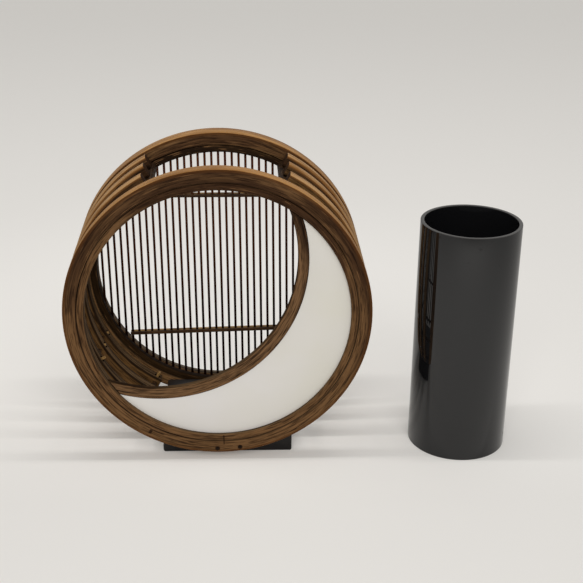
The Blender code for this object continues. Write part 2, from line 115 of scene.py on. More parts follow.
class VaseSizes(PropertyGroup):
    """Sizes of the vase and the tube"""
    ring_radius: length("Ring radius", "Outer radius of both rings and of the hoops",
                        (OUTER_HIGH.x - OUTER_LOW.x) / 2)
    outer_strip: length("Outer strip", "Thickness of the outer strips and the hoops", 0.0105)
    inner_strip: length("Inner strip", "Thickness of the inner strips", 0.0056)
    ring_edge: length("Ring edge", "Rounding of the long edges of the ring strips", 0.0008)
    ring_steps: count("Ring steps", "Steps in one turn of a ring", 216)
    hoop_width: length("Hoop width", "Width of a hoop from front to back", 0.0105)
    hoop_crown: length("Hoop crown", "Height of the crown on the skin of a hoop", 0.0012)
    hoop_steps: count("Hoop steps", "Steps along a hoop", 80)
    mouth_left: length("Mouth left", "Left half of the mouth between the hoops", 0.0536)
    mouth_right: length("Mouth right", "Right half of the mouth between the hoops", 0.0514)
    end_to_block: length("End to block", "Space between a hoop's lower end and the block", 0.0044)
    bar_width: length("Bar width", "Width of the bars under the upper ends of the hoops", 0.0070)
    bar_overhang: length("Bar overhang", "How far the bars reach past the hoop ends", 0.0010)
    dowel_radius: length("Dowel radius", "Radius of the tie dowels", 0.0020)
    dowel_inset: length("Dowel inset", "Lower dowel from the hoop's end, along the hoop", 0.0046)
    side_drop: angle("Side dowel drop", "Side dowels below the level of the axis", 29.0)
    peg_radius: length("Peg radius", "Radius of the pegs that pin the hoops", 0.0013)
    side_peg_stands: length("Side peg stands", "How far the long side peg stands out", 0.0030)
    lower_peg_stands: length("Lower peg stands", "How far the long lower peg stands out", 0.0042)
    short_peg_stands: length("Short peg stands", "How far the other pegs stand out", 0.0005)
    peg_bore: length("Peg bore", "Radius of the bores round the pegs", 0.0027)
    peg_bore_depth: length("Peg bore depth", "Depth of the bores round the pegs", 0.0034)
    ring_peg_radius: length("Ring peg radius", "Radius of the pegs through the rings", 0.0014)
    block_round: length("Block rounding", "Rounding of the block's edges", 0.0018)
    crescent_width: length("Crescent width", "Widest part of the panel", 0.0521)
    crescent_strip: length("Crescent strip", "Widest part of the strip along the panel", 0.0101)
    strip_recess: length("Strip recess", "Strip behind the face of the ring", 0.0020)
    strip_depth: length("Strip depth", "Strip from front to back", 0.0045)
    panel_recess: length("Panel recess", "Panel behind the face of the ring", 0.0026)
    panel_thickness: length("Panel thickness", "Thickness of the panel", 0.0038)
    rod_radius: length("Rod radius", "Radius of the screen's rods", 0.0010)
    rod_pitch: length("Rod pitch", "Distance from rod to rod", 0.0056)
    rod_shift: length("Rod shift", "Middle rod to the right of the axis", 0.0012)
    rod_clearance: length("Rod clearance", "Outermost rods from the slot's rim", 0.0090)
    side_rods: count("Side rods", "Outermost rods at each side that pass no crossbar", 4)
    crossbar_height: length("Crossbar height", "Height of the crossbars", 0.0026)
    crossbar_depth: length("Crossbar depth", "Depth of the crossbars", 0.0020)
    crossbar_notch: length("Crossbar notch", "How deep the rods lie in the front bars", 0.0004)
    crossbar_clearance: length("Crossbar clearance", "Rods past the bars near the rim", 0.0074)
    crossbar_past: length("Crossbar end", "How far a bar reaches past its last rod", 0.0018)
    upper_bar_up: length("Upper crossbar", "Upper crossbars above the axis", 0.0644)
    lower_bar_down: length("Lower crossbar", "Lower crossbars below the axis", 0.0594)
    upper_bar_tilt: angle("Upper crossbar tilt", "Rise of the upper bars to the right", -0.6)
    lower_bar_tilt: angle("Lower crossbar tilt", "Rise of the lower bars to the right", 0.9)
    screen_lean: angle("Screen lean", "Lean of the rods to the left", 0.9)
    tube_wall: length("Tube wall", "Thickness of the tube's wall", 0.0030)
    tube_rim: length("Tube rim", "Rounding of the tube's rim", 0.0005)
    tube_steps: count("Tube steps", "Steps round the tube", 160)


class VaseColours(PropertyGroup):
    """Colours of the vase, the tube and the stage"""
    skin: colour("Skin", "Golden skin of the rings", 165, 121, 70)
    skin_smoke: colour("Skin smoke", "Smoked places on the skin", 126, 86, 44)
    hoop_skin: colour("Hoop skin", "Skin of the hoops", 174, 136, 92)
    under_skin: colour("Under the skin", "Split side just under the skin", 84, 50, 22)
    face: colour("Split side", "Brown of the split sides", 68, 46, 29)
    face_gold: colour("Golden split side", "Golden places on the split sides", 115, 84, 54)
    hoop_gold: colour("Golden hoop side", "Golden places on the sides of the hoops", 108, 78, 45)
    hoop_under: colour("Under the hoop skin", "Sides of the hoops by the skin", 136, 89, 45)
    hoop_fibre: colour("Dark hoop fibre", "Dark lines on the hoops", 24, 14, 8)
    crescent_face: colour("Crescent side", "Brown of the crescent strip", 54, 37, 24)
    crescent_gold: colour("Golden crescent side", "Golden places on the strip", 122, 91, 62)
    back_skin: colour("Back skin", "Golden skin of the back ring", 174, 130, 78)
    # Painted light: lighter copies of the split sides, for the back ring's outer strip
    back_painted_light_face: colour("Back split side", "Split sides of the back ring's outer strip", 84, 58, 37)
    back_painted_light_gold: colour("Back golden side", "Golden places on those sides", 142, 106, 68)
    # Painted shade: dark copies of the split sides, for the back ring's inner strip in the bay and
    # the shaded sides of the crescent strip
    painted_shade_face: colour("Deep split side", "Split sides of its inner strip in the bay", 34, 23, 14)
    painted_shade_gold: colour("Deep golden side", "Golden places on those sides", 58, 41, 23)
    fibre: colour("Fibre", "Dark fibres", 34, 20, 11)
    hairline: colour("Hairline", "Light hairlines along the fibres", 140, 102, 66)
    lining: colour("Lining", "Inner side of the strips and hoops", 110, 86, 60)
    # Painted shade: a dark copy of the lining, for the back ring's inner strip in the bay
    painted_shade_lining: colour("Deep lining", "Inner side of the back ring", 28, 20, 12)
    # Painted light: a lighter, greyer copy of the lining, for the back ring's inner strip behind
    # the rods
    painted_light_slot_lining: colour("Slot lining", "Inner side of the back ring behind the rods", 116, 101, 84)
    lacquer: colour("Lacquer", "Base block", 12, 10, 10)
    panel: colour("Panel", "Crescent panel", 229, 225, 221)
    # Painted light and shade: the rods are lighter at their upper ends and darker at their lower
    # ends
    rods: colour("Rods", "Smoked rods of the screen, upper ends", 92, 48, 27)
    rods_low_painted_shade: colour("Rods below", "Smoked rods of the screen, lower ends", 24, 6, 3)
    # Painted light: the back crossbars are a lighter, golden copy of the front crossbars' bamboo
    crossbar: colour("Crossbar", "Golden back crossbars", 184, 146, 92)
    peg: colour("Peg", "Pegs that pin the hoops", 176, 138, 84)
    acrylic: colour("Acrylic", "Water tube", 17, 17, 18)
    acrylic_rim: colour("Acrylic rim", "Sawn rim of the water tube", 28, 25, 22)
    floor: colour("Floor", "Floor near the vase", 228, 225, 220)
    backdrop: colour("Backdrop", "Floor and backdrop far behind the vase", 193, 190, 185)


# Shader sums

class Wire:
    """An output of a node in a material, on which sums are written as plain expressions."""

    def __init__(self, tree, socket=None):
        self.tree = tree
        self.socket = socket

    def node(self, kind, settings=None, values=None, output=0):
        """Adds a node: its settings first, then the values or links of its inputs."""
        made = self.tree.nodes.new(kind)
        for name, setting in (settings or {}).items():
            setattr(made, name, setting)
        for key, value in (values or {}).items():
            target = find_socket(made.inputs, key)
            if isinstance(value, Wire):
                self.tree.links.new(value.socket, target)
            else:
                target.default_value = value
        return Wire(self.tree, find_socket(made.outputs, output))

    def part(self, axis):
        """One number of a vector: X, Y or Z."""
        return self.node("ShaderNodeSeparateXYZ", None, {0: self}, axis)

    def math(self, operation, *others):
        values = dict(enumerate((self, *others)))
        return self.node("ShaderNodeMath", {"operation": operation}, values)

    def __add__(self, other):
        return self.math("ADD", other)

    __radd__ = __add__

    def __mul__(self, other):
        return self.math("MULTIPLY", other)

    __rmul__ = __mul__

    def __sub__(self, other):
        return self.math("SUBTRACT", other)

    def __rsub__(self, other):
        return (self * -1.0) + other

    def __truediv__(self, other):
        return self.math("DIVIDE", other)

    def __pow__(self, other):
        return self.math("POWER", other)

    def __abs__(self):
        return self.math("ABSOLUTE")

    def greatest(self, *others):
        highest = self
        for other in others:
            highest = highest.math("MAXIMUM", other)
        return highest

    def between(self, low, high):
        """0 at low and below, 1 at high and above, smooth in between."""
        return self.node(
            "ShaderNodeMapRange", {"interpolation_type": "SMOOTHSTEP"},
            {"Value": self, "From Min": low, "From Max": high})

    def mix(self, low, high):
        """The colour low where this is 0 and high where it is 1."""
        low, high = (end if isinstance(end, Wire) else (*end, 1.0) for end in (low, high))
        return self.node(
            "ShaderNodeMix", {"data_type": "RGBA"},
            {"Factor_Float": self, "A_Color": low, "B_Color": high}, "Result_Color")


def find_socket(sockets, key):
    if isinstance(key, int):
        return sockets[key]
    for socket in sockets:
        if socket.identifier == key:
            return socket
    return sockets[key]


def new_finish(name, **uniform):
    """A material with one Principled shader, and the wire of its Object coordinates."""
    material = bpy.data.materials.new(name)
    material.use_nodes = True
    tree = material.node_tree
    shader = tree.nodes["Principled BSDF"]
    for key, value in uniform.items():
        shader.inputs[key.replace("_", " ")].default_value = value
    return material, shader, Wire(tree).node("ShaderNodeTexCoord", output="Object")


def connect(shader, **wires):
    for key, wire in wires.items():
        shader.id_data.links.new(wire.socket, shader.inputs[key.replace("_", " ")])


def bump(height, distance, strength):
    return height.node("ShaderNodeBump", None,
                       {"Strength": strength, "Distance": distance, "Height": height}, "Normal")


def distance(across, along):
    return (across * across + along * along) ** 0.5


def noise(place, scale, detail):
    return place.node("ShaderNodeTexNoise", None,
                      {"Vector": place, "Scale": scale, "Detail": detail})


def drawn_out(place, *scale):
    """A place whose patterns run longer along the axes with a small scale."""
    return place.node("ShaderNodeMapping", None, {"Vector": place, "Scale": scale})


def ring_place(place, centre):
    """Radius from an axis, cosine and sine of the angle round it, and the depth."""
    across = place.part("X") - centre[0]
    rise = place.part("Z") - centre[1]
    radius = distance(across, rise)
    return radius, across / radius, rise / radius, place.part("Y")


def streaks(place, along, over, detail, roughness, twist=0.0):
    """Noise with few changes along a strip and many over its width."""
    radius, cosine, sine, depth = place
    vector = radius.node("ShaderNodeCombineXYZ", None,
                         {"X": cosine * along, "Y": sine * along, "Z": depth * over})
    return radius.node(
        "ShaderNodeTexNoise", {"noise_dimensions": "4D"},
        {"Vector": vector, "W": radius * over + twist, "Scale": 1.0, "Detail": detail,
         "Roughness": roughness})


# Finishes

def joint_mark(place, degrees, inside, outside, half_width):
    """1 on the line where two ends of a strip meet, across the strip at this angle."""
    radius, cosine, sine, _ = place
    turn = math.radians(degrees)
    aside = abs(radius * (cosine * math.sin(turn) - sine * math.cos(turn)))
    ahead = cosine * math.cos(turn) + sine * math.sin(turn)
    across = radius.between(inside - 0.0004, inside) * (
        1.0 - radius.between(outside, outside + 0.0004))
    return (1.0 - aside.between(half_width * 0.5, half_width)) * ahead.between(0.0, 0.1) * across


def round_spot(place, across, up, radius):
    """1 within this radius of a point of the rings' front face."""
    far, cosine, sine, _ = place
    aside = far * cosine - across
    above = far * sine + AXIS_HEIGHT - up
    return 1.0 - distance(aside, above).between(radius - 0.0004, radius)


def bamboo_tones(**changes):
    """The colours of split bamboo, with what differs on one kind of strip."""
    tones = {name: tuple(getattr(colours(), name)) for name in (
        "skin", "skin_smoke", "under_skin", "face", "face_gold", "fibre", "hairline", "lining")}
    return tones | {name: tuple(shade) for name, shade in changes.items()}


def split_bamboo(name, inside, outside, tones, centre=(0.0, AXIS_HEIGHT), seam=None, marks=(),
                 middles=(), skin_depth=0.0004):
    """Split bamboo bent round an axis: skin outside, streaked split sides, a lining inside.

    seam is the radius of a dark line, a glue line on the rings and painted shade along the
    crescent strip's edge on the panel. marks are dark places on the split sides, and middles are
    the depths of the hoops, whose linings darken towards their edges and whose split sides darken
    next to the linings: painted shade in the gaps between the hoops.
    """
    material, shader, place = new_finish(name, Specular_IOR_Level=0.05)
    place = ring_place(place, centre)
    radius, _, sine, depth = place
    # The split sides turn more golden lower round the axis and browner higher up, and the skin
    # smokier higher up
    tint = streaks(place, 1.6, 90.0, 2.0, 0.5, 5.3) - sine * 0.17 + 0.075
    broad = streaks(place, 4.0, 860.0, 2.0, 0.5)
    fine = streaks(place, 12.0, 1900.0, 2.0, 0.6, 3.7)
    sparse = streaks(place, 7.0, 1300.0, 1.0, 0.5, 9.1)
    fibre = (broad * 0.5 + fine * 0.5).between(0.36, 0.58)
    face = tint.between(0.40, 0.62).mix(tones["face"], tones["face_gold"])
    face = (fibre * 0.85 + 0.15).mix(tones["fibre"], face)
    face = (sparse.between(0.63, 0.70) * 0.5).mix(face, tones["hairline"])
    face = ((1.0 - sparse.between(0.32, 0.39)) * 0.8).mix(face, tones["fibre"])
    near_skin = radius.between(outside - 0.0032, outside - 0.0008)
    face = (near_skin * 0.65).mix(face, tones["under_skin"])
    lines = streaks(place, 1.2, 640.0, 1.0, 0.4, 2.2).between(0.55, 0.60)
    lining = (fibre * 0.5 + 0.5).mix(tones["fibre"], tones["lining"])
    lining = (lines * 0.75).mix(lining, tones["fibre"])
    skin = (tint * 0.5 + broad * 0.5).between(0.36, 0.56).mix(tones["skin_smoke"], tones["skin"])
    skin = (fine.between(0.50, 0.75) * 0.3).mix(skin, tones["skin_smoke"])
    edge = radius + (fine - 0.5) * 0.0004
    on_skin = edge.between(outside - skin_depth, outside - skin_depth + 0.0003)
    on_lining = 1.0 - edge.between(inside + 0.0001, inside + 0.0005)
    if middles:
        aside = abs(depth - middles[0])
        for middle in middles[1:]:
            aside = aside.math("MINIMUM", abs(depth - middle))
        half = sizes().hoop_width / 2
        # Painted shade in the gaps between the hoops: linings darken towards their edges, split
        # sides next to the linings
        lining = (aside.between(half - 0.0024, half - 0.0010) * 0.9).mix(lining, tones["fibre"])
        painted_gap_shade = 1.0 - radius.between(inside + 0.0008, inside + 0.0022)
        face = (painted_gap_shade * 0.85).mix(face, tones["fibre"])
    body = on_lining.mix(face, lining)
    dark = 0.0 * radius
    if seam:
        # On the rings this line is glue; on the shaded copy of the crescent strip's finish it is
        # painted shade along its edge on the panel
        joint = 1.0 - abs(radius - seam).between(0.0002, 0.0011)
        dark = joint * (0.05 + 0.65 * broad.between(0.42, 0.62))
    for mark in marks:
        drawn = round_spot if len(mark) == 3 else joint_mark
        dark = dark.greatest(drawn(place, *mark) * 0.85)
    connect(shader,
            Base_Color=dark.mix(on_skin.mix(body, skin), tones["fibre"]),
            Roughness=0.66 - on_skin * 0.20 + (tint - 0.5) * 0.15,
            Normal=bump(fine * 0.5 + broad * 0.5 - on_lining * lines - dark, 0.0003, 0.8))
    return material


def cut_end():
    """Sawn ends of the hoops: dark, with the pores of the cane."""
    material, shader, place = new_finish("cut_end", Specular_IOR_Level=0.05)
    pores = place.node("ShaderNodeTexVoronoi", None, {"Vector": place, "Scale": 1500.0})
    cloudy = noise(place, 300.0, 3.0)
    connect(shader,
            Base_Color=(pores * cloudy).between(0.05, 0.30).mix(tone(16, 9, 5), tone(54, 35, 21)),
            Roughness=cloudy * 0.2 + 0.55,
            Normal=bump(pores, 0.0001, 0.6))
    return material


def painted_shade_hollow():
    """Walls of the bores round the pegs, nearly black with painted shade."""
    material, shader, place = new_finish("painted_shade_hollow", Specular_IOR_Level=0.02)
    cloudy = noise(place, 700.0, 2.0)
    connect(shader,
            Base_Color=cloudy.between(0.4, 0.7).mix(tone(5, 3, 2), tone(14, 10, 7)),
            Roughness=cloudy * 0.2 + 0.6)
    return material


def black_lacquer():
    """Black lacquer on the block, a little cloudy, with lighter grey cloudy patches on its top."""
    material, shader, place = new_finish("black_lacquer", Specular_IOR_Level=0.35)
    cloudy = noise(place, 60.0, 4.0)
    on_top = place.part("Z").between(BLOCK_HIGH.z - 0.0012, BLOCK_HIGH.z - 0.0002)
    lacquer = cloudy.between(0.45, 0.75).mix(colours().lacquer, tone(24, 21, 19))
    grain = noise(drawn_out(place, 0.05, 1.0, 1.0), 700.0, 2.0)
    connect(shader,
            Base_Color=(on_top * cloudy.between(0.2, 0.6)).mix(lacquer, tone(48, 46, 45)),
            Roughness=cloudy * 0.2 + 0.30,
            Normal=bump(grain, 0.00005, 0.4))
    return material


def white_panel():
    """Off-white panel, matt, faintly cloudy and a little yellowed to the right."""
    material, shader, place = new_finish("white_panel", Specular_IOR_Level=0.2)
    cloudy = noise(place, 22.0, 3.0)
    speckle = noise(place, 900.0, 2.0)
    yellowed = cloudy.between(0.3, 0.7) * 0.3 + place.part("X").between(0.0, 0.10) * 0.5
    connect(shader,
            Base_Color=yellowed.mix(colours().panel, tone(224, 220, 206)),
            Roughness=speckle * 0.1 + 0.55,
            Normal=bump(speckle, 0.00004, 0.3))
    return material


def screen_bamboo():
    """Smoked matt rods; painted light and shade make them red-brown above, nearly black below."""
    material, shader, place = new_finish("screen_bamboo", Specular_IOR_Level=0.0)
    fibre = noise(drawn_out(place, 1.0, 1.0, 0.04), 1400.0, 3.0)
    patch = noise(place, 55.0, 2.0)
    # Painted light and shade: lighter with height, from the lower ends to the upper ones
    body = place.part("Z").between(0.06, 0.22).mix(colours().rods_low_painted_shade, colours().rods)
    grain = (fibre * 0.6 + patch * 0.4).between(0.35, 0.65)
    connect(shader,
            Base_Color=((1.0 - grain) * 0.4).mix(body, tone(14, 4, 2)),
            Roughness=patch * 0.2 + 0.45,
            Normal=bump(fibre, 0.00008, 0.5))
    return material


def straight_bamboo(name, low, high, gloss=0.15):
    """Sticks laid from side to side or from ring to ring, with fibres from end to end."""
    material, shader, place = new_finish(name, Specular_IOR_Level=gloss)
    fibre = noise(drawn_out(place, 0.06, 0.25, 1.0), 1500.0, 3.0)
    connect(shader,
            Base_Color=fibre.between(0.35, 0.65).mix(low, high),
            Roughness=fibre * 0.2 + 0.45,
            Normal=bump(fibre, 0.00008, 0.5))
    return material


def pale_peg():
    """Fresh-cut pegs, pale tan with fine end grain."""
    material, shader, place = new_finish("pale_peg", Specular_IOR_Level=0.25)
    grain = noise(place, 1200.0, 3.0)
    connect(shader,
            Base_Color=grain.between(0.35, 0.65).mix(tone(120, 88, 50), colours().peg),
            Roughness=grain * 0.2 + 0.45,
            Normal=bump(grain, 0.00006, 0.5))
    return material


def black_acrylic():
    """Glossy black pipe, with specks and faint smears, and a duller sawn rim."""
    material, shader, place = new_finish("black_acrylic", Specular_IOR_Level=0.62)
    rim = place.part("Z").between(TUBE_HIGH.z - 0.0004, TUBE_HIGH.z - 0.0002)
    specks = noise(place, 160.0, 2.0).between(0.70, 0.74)
    smear = noise(place, 18.0, 3.0)
    wall = specks.mix(colours().acrylic, tone(5, 5, 5))
    connect(shader,
            Base_Color=rim.mix(wall, colours().acrylic_rim),
            Roughness=smear * 0.06 + specks * 0.2 + rim * 0.35,
            Normal=bump(smear * 0.1 + specks, 0.00010, 0.5))
    return material


# Shapes

def sizes():
    return bpy.context.scene.vase_sizes


def colours():
    return bpy.context.scene.vase_colours


def on_ring(radius, degrees, depth):
    turn = math.radians(degrees)
    return Vector((radius * math.cos(turn), depth, AXIS_HEIGHT + radius * math.sin(turn)))


def add_object(name, data):
    made = bpy.data.objects.new(name, data)
    bpy.context.scene.collection.objects.link(made)
    return made


def mesh_object(name, shape, materials):
    """An object with the mesh of a shape, which is used up."""
    mesh = bpy.data.meshes.new(name)
    shape.to_mesh(mesh)
    shape.free()
    for material in materials:
        mesh.materials.append(material)
    return add_object(name, mesh)


def add_piece(name, shape, materials, nodes, body="vase"):
    bmesh.ops.remove_doubles(shape, verts=shape.verts[:], dist=MERGE_DISTANCE)
    bmesh.ops.recalc_face_normals(shape, faces=shape.faces[:])
    piece = mesh_object(name, shape, materials)
    piece.data.shade_smooth()
    piece.data.set_sharp_from_angle(angle=math.radians(SHARP_ANGLE))
    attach(piece, body)
    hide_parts(*nodes)


def round_edges(shape, width, segments, sharper=40.0):
    edges = [edge for edge in shape.edges
             if len(edge.link_faces) == 2
             and edge.calc_face_angle(0.0) > math.radians(sharper)]
    bmesh.ops.bevel(shape, geom=edges, offset=width, offset_type="OFFSET", segments=segments,
                    profile=0.5, affect="EDGES", clamp_overlap=True, material=-1)


def bent_strip(section, start, end, steps):
    """Carries a section of (radius, depth) corners round the rings' axis."""
    shape = bmesh.new()
    corners = [shape.verts.new(on_ring(radius, start, depth)) for radius, depth in section]
    full = end - start > 359.9
    if full:
        edges = [shape.edges.new(pair) for pair in zip(corners, corners[1:] + corners[:1])]
        geometry = [*corners, *edges]
    else:
        face = shape.faces.new(corners)
        geometry = [face, *face.edges, *face.verts]
    bmesh.ops.spin(shape, geom=geometry, cent=(0, 0, AXIS_HEIGHT), axis=(0, -1, 0),
                   angle=math.radians(end - start), steps=steps, use_merge=full)
    bmesh.ops.recalc_face_normals(shape, faces=shape.faces[:])
    return shape


def crowned_section(inside, outside, front, back, crown):
    middle = (front + back) / 2
    third = (back - front) / 6
    return [(inside, front), (inside, back), (outside - crown, back),
            (outside - crown * 0.25, middle + 2 * third), (outside, middle + third),
            (outside, middle - third), (outside - crown * 0.25, middle - 2 * third),
            (outside - crown, front)]


def rod_between(shape, start, end, radius, sides):
    along = end - start
    turned = along.to_track_quat("Z", "Y").to_matrix().to_4x4()
    bmesh.ops.create_cone(
        shape, cap_ends=True, segments=sides, radius1=radius, radius2=radius,
        depth=along.length, matrix=Matrix.Translation((start + end) / 2) @ turned)


def bored(shape, places, radius, materials):
    """Cuts round bores, each from one point to another, out of a shape."""
    bores = bmesh.new()
    for start, end in places:
        rod_between(bores, start, end, radius, 20)
    for face in bores.faces:
        face.material_index = len(materials) - 1
    blanks = [mesh_object("blank", part, materials) for part in (shape, bores)]
    cut = blanks[0].modifiers.new("bores", "BOOLEAN")
    cut.object = blanks[1]
    ready = blanks[0].evaluated_get(bpy.context.evaluated_depsgraph_get())
    mesh = bpy.data.meshes.new_from_object(ready)
    finished = bmesh.new()
    finished.from_mesh(mesh)
    meshes = [mesh, *(blank.data for blank in blanks)]
    for blank in blanks:
        bpy.data.objects.remove(blank)
    for mesh in meshes:
        bpy.data.meshes.remove(mesh)
    return finished


def block_between(shape, low, high, turn=Matrix.Identity(4)):
    size = high - low
    bmesh.ops.create_cube(
        shape, size=1.0,
        matrix=Matrix.Translation((low + high) / 2) @ turn @ Matrix.Diagonal((*size, 1.0)))


# Places of the hoops and what pins them

def hoop_bore():
    return sizes().ring_radius - sizes().outer_strip


def ring_bore():
    return hoop_bore() - SEAT_GAP - sizes().inner_strip


def stock_middle():
    return sizes().ring_radius - sizes().outer_strip / 2


def hoop_ends(side):
    """Angles of the upper and the lower end of the hoops on a side."""
    own = sizes()
    left = side == "left"
    mouth = own.mouth_left if left else own.mouth_right
    reach = (-BLOCK_LOW.x if left else BLOCK_HIGH.x) + own.end_to_block
    upper = math.degrees(math.acos(mouth / hoop_bore()))
    lower = math.degrees(math.acos(reach / hoop_bore()))
    return (180.0 - upper, 180.0 + lower) if left else (upper, -lower)


def hoop_middle(side, number):
    low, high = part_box(f"{side}_hoop_{number}")
    return (low.y + high.y) / 2


def dowel_angles(side):
    """Angles of the lower and the side dowel on a side."""
    inset = math.degrees(sizes().dowel_inset / stock_middle())
    drop = math.degrees(sizes().side_drop)
    lower = hoop_ends(side)[1]
    if side == "left":
        return {"lower": lower - inset, "side": 180.0 + drop}
    return {"lower": lower + inset, "side": -drop}


# How far out the skin is put in the finish of a strip that shows none
NO_SKIN = 0.01

# Ends of the ring strips: angle, inner and outer radius of the mark, and half its width
INNER_MARKS = ((271.8, 0.1045, 0.1125, 0.0007),)
OUTER_MARKS = ((241.0, 0.1125, 0.1160, 0.0016), (243.8, 0.1119, 0.1127, 0.0070),
               (271.8, 0.1080, 0.1125, 0.0006))


class VASE_OT_rings(Operator):
    """Bend the strips of the front ring and the back ring"""
    bl_idname = "vase.rings"
    bl_label = "Rings"

    def execute(self, context):
        own = sizes()
        plain = bamboo_tones()
        # Painted light: the back ring's outer strip has lighter split sides
        back = bamboo_tones(skin=colours().back_skin, face=colours().back_painted_light_face,
                            face_gold=colours().back_painted_light_gold)
        # Painted shade: the back ring's inner strip in the bay has dark split sides and lining
        deep = bamboo_tones(face=colours().painted_shade_face, face_gold=colours().painted_shade_gold,
                            lining=colours().painted_shade_lining)
        # Painted light: the back ring's inner strip behind the rods has a lighter, greyer lining
        behind = bamboo_tones(lining=colours().painted_light_slot_lining)
        pins = [(centre.x, centre.z, own.ring_peg_radius + 0.0008) for centre in (
            sum(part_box(f"front_ring_peg_{number}"), Vector()) / 2 for number in (1, 2))]
        strips = (
            ("front_ring_outer", "ring_outer", FRONT_FACE, BAY_FRONT, plain,
             (*OUTER_MARKS, *pins)),
            ("front_ring_inner", "ring_inner", FRONT_FACE, BAY_FRONT, plain, INNER_MARKS),
            ("back_ring_outer", "back_outer", BAY_BACK, BACK_FACE, back, ()),
            ("back_ring_inner_front", "back_inner_painted_shade", BAY_BACK, SLOT_FRONT, deep, ()),
            ("back_ring_inner_rear", "slot_inner_painted_light", SLOT_BACK, BACK_FACE, behind, ()))
        for node, finish, front, rear, tones, marks in strips:
            inside, outside, skin = hoop_bore(), own.ring_radius, own.ring_radius
            if "inner" in node:
                inside, outside, skin = ring_bore(), hoop_bore() - SEAT_GAP, hoop_bore() + NO_SKIN
            material = split_bamboo(finish + "_bamboo", inside, skin, tones, seam=hoop_bore(),
                                    marks=marks)
            section = [(inside, front), (inside, rear), (outside, rear), (outside, front)]
            shape = bent_strip(section, 0.0, 360.0, own.ring_steps)
            round_edges(shape, own.ring_edge, 3)
            add_piece(node + "_strip", shape, [material], [node])
        return {"FINISHED"}


class VASE_OT_hoops(Operator):
    """Bend the six open hoops between the rings"""
    bl_idname = "vase.hoops"
    bl_label = "Hoops"

    def execute(self, context):
        own = sizes()
        tones = bamboo_tones(skin=colours().hoop_skin, under_skin=colours().hoop_under,
                             face_gold=colours().hoop_gold, fibre=colours().hoop_fibre)
        middles = [hoop_middle("left", number) for number in HOOPS]
        split = split_bamboo("hoop_bamboo", hoop_bore(), own.ring_radius, tones,
                             middles=middles, skin_depth=0.0012)
        finishes = (split, cut_end(), painted_shade_hollow())
        for side in SIDES:
            start, end = sorted(hoop_ends(side))
            for number in HOOPS:
                middle = hoop_middle(side, number)
                half = own.hoop_width / 2
                section = crowned_section(hoop_bore(), own.ring_radius, middle - half,
                                          middle + half, own.hoop_crown)
                shape = bent_strip(section, start, end, own.hoop_steps)
                for face in shape.faces:
                    face.material_index = int(len(face.verts) == len(section))
                round_edges(shape, HOOP_EDGE, 2, 45.0)
                bores = [(on_ring(hoop_bore() - own.peg_bore_depth, turned, middle),
                          on_ring(hoop_bore() + own.peg_bore_depth, turned, middle))
                         for turned in dowel_angles(side).values()]
                shape = bored(shape, bores, own.peg_bore, finishes)
                node = f"{side}_hoop_{number}"
                add_piece(node + "_strip", shape, finishes, [node])
        return {"FINISHED"}


class VASE_OT_top_bars(Operator):
    """Lay the bars under the upper ends of the hoops"""
    bl_idname = "vase.top_bars"
    bl_label = "Top Bars"

    def execute(self, context):
        own = sizes()
        material = straight_bamboo("top_bar_bamboo", tone(24, 15, 9), tone(58, 40, 24))
        for side in SIDES:
            upper, _ = hoop_ends(side)
            reach = hoop_bore() - SEAT_GAP
            outside = math.sqrt(reach ** 2 - (own.bar_width / 2) ** 2)
            step = math.degrees((own.bar_width / 2 - own.bar_overhang) / hoop_bore())
            turned = upper + step if side == "left" else upper - step
            thick = own.inner_strip - SEAT_GAP
            centre = on_ring(outside - thick / 2, turned, (BAY_FRONT + BAY_BACK) / 2)
            half = Vector((thick, BAY_BACK - BAY_FRONT - 2 * SEAT_GAP, own.bar_width)) / 2
            shape = bmesh.new()
            block_between(shape, centre - half, centre + half,
                          Matrix.Rotation(math.radians(-turned), 4, "Y"))
            round_edges(shape, HOOP_EDGE, 2)
            add_piece(f"{side}_top_bar_stick", shape, [material],
                      [f"{side}_top_bar"])
        return {"FINISHED"}


class VASE_OT_dowels(Operator):
    """Put in the tie dowels that run through the hoops from ring to ring"""
    bl_idname = "vase.dowels"
    bl_label = "Tie Dowels"

    def execute(self, context):
        own = sizes()
        material = straight_bamboo("tie_bamboo", tone(32, 20, 12), tone(70, 48, 28))
        for side in SIDES:
            for level, turned in dowel_angles(side).items():
                shape = bmesh.new()
                rod_between(shape, on_ring(stock_middle(), turned, BAY_FRONT - SEAT_GAP),
                            on_ring(stock_middle(), turned, BAY_BACK + SEAT_GAP),
                            own.dowel_radius, 24)
                add_piece(f"{side}_{level}_tie", shape, [material],
                          [f"{side}_{level}_dowel"])
        return {"FINISHED"}


